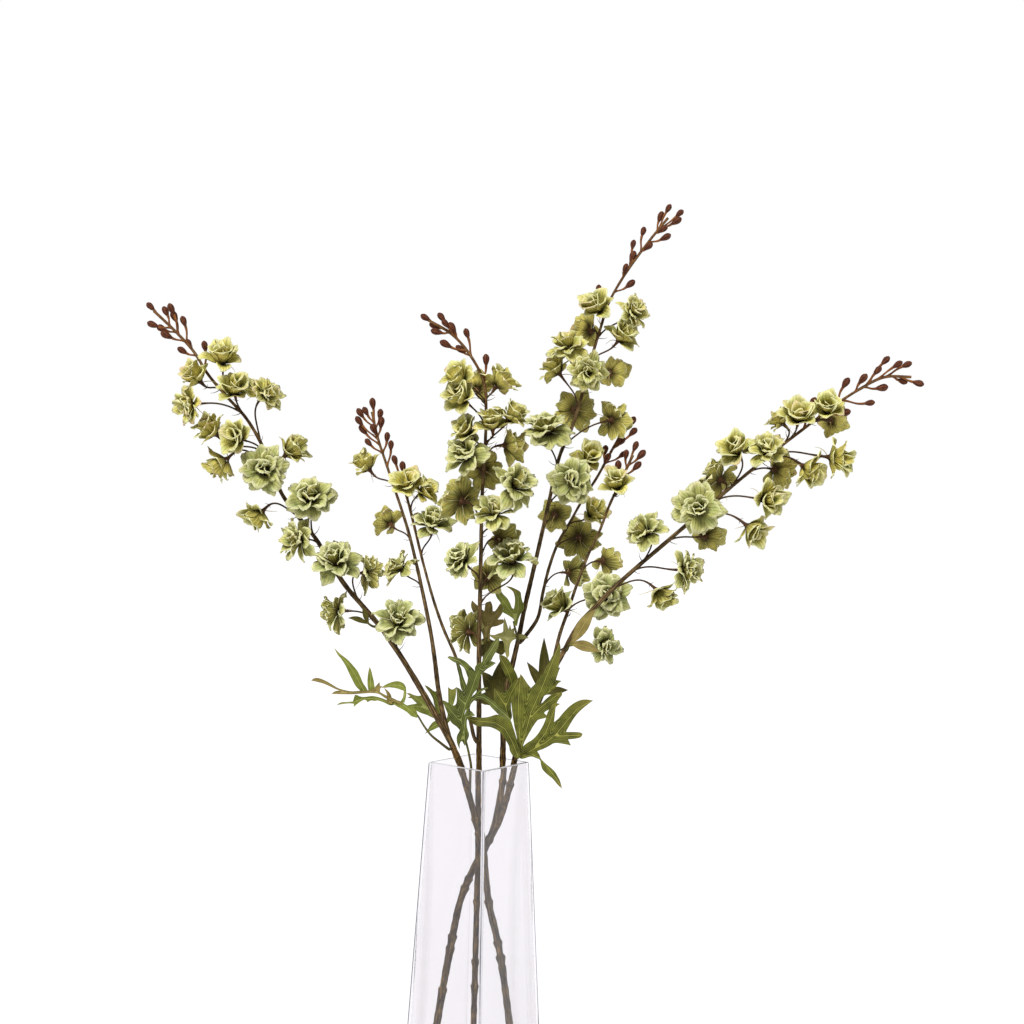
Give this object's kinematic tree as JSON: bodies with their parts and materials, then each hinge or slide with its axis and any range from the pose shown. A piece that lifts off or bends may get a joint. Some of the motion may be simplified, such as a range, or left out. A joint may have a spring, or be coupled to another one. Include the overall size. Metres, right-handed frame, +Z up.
{
  "type": "hop stems in vase",
  "caption": "Cut, dried flower stems with double green blooms, brown bud tips and deeply cut leaves, standing in a tall, square, tapered vase of clear glass.",
  "frame": {"origin": "the middle of the flat underside of the vase", "axes": "+Z up along the vase, -Y towards the front, where one upright corner of the vase points a little to the right, +X to the right"},
  "size_m": [0.7454, 0.2046, 0.9742],
  "materials": {
    "clear_glass": "clear and polished",
    "bark": "dry, finely ribbed bark, matt",
    "petals": "thin, dry, finely veined petals, matt",
    "leaf": "thin, veined leaves with a faint sheen"
  },
  "bodies": {
    "root": {"vase": "clear_glass", "stalk_left": "bark", "stalk_centre": "bark", "stalk_right": "bark", "spray_far_left": "petals", "spray_near_left": "petals", "spray_thin": "petals", "spray_centre": "petals", "spray_tall_right": "petals", "spray_far_right": "petals", "spray_back_right": "petals", "spray_short_right": "petals", "leaf_left": "leaf", "leaf_left_back": "leaf", "leaf_centre": "leaf", "leaf_right": "leaf", "leaf_back": "leaf", "leaf_upper": "leaf", "leaf_centre_back": "leaf", "leaf_right_back": "leaf", "leaf_sheath": "leaf", "leaf_slender": "leaf"}
  },
  "joints": []
}
